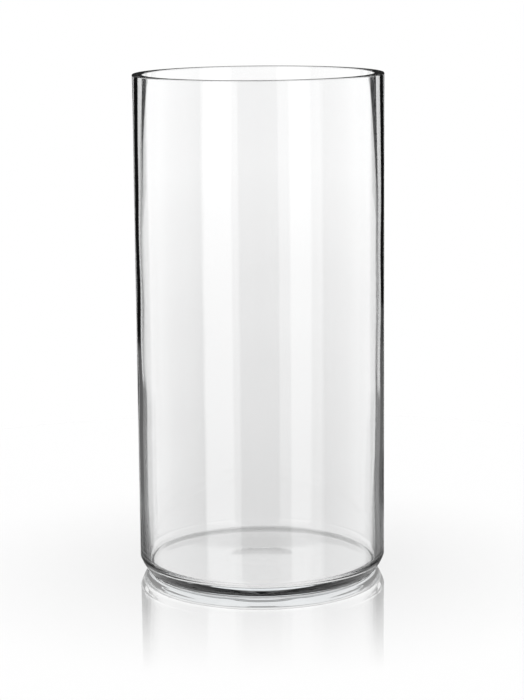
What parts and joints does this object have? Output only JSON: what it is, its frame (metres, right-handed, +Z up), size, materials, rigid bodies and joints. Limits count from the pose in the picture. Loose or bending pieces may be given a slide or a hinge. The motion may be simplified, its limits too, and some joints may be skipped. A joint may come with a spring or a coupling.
{
  "type": "glass cylinder vase",
  "caption": "Straight clear glass cylinder vase with a cut, polished rim, a tapered heel and a heavy base pushed up a little in the middle.",
  "frame": {"origin": "on the table, at the centre of the standing ring", "axes": "+Z up along the cylinder's axis, towards the mouth; the vase is round, so X and Y are alike"},
  "size_m": [0.15, 0.15, 0.302],
  "materials": {
    "clear_glass": "clear, fire-polished walls, cut and polished rim, ground pontil mark"
  },
  "bodies": {
    "root": {"vase_body": "clear_glass"}
  },
  "joints": []
}
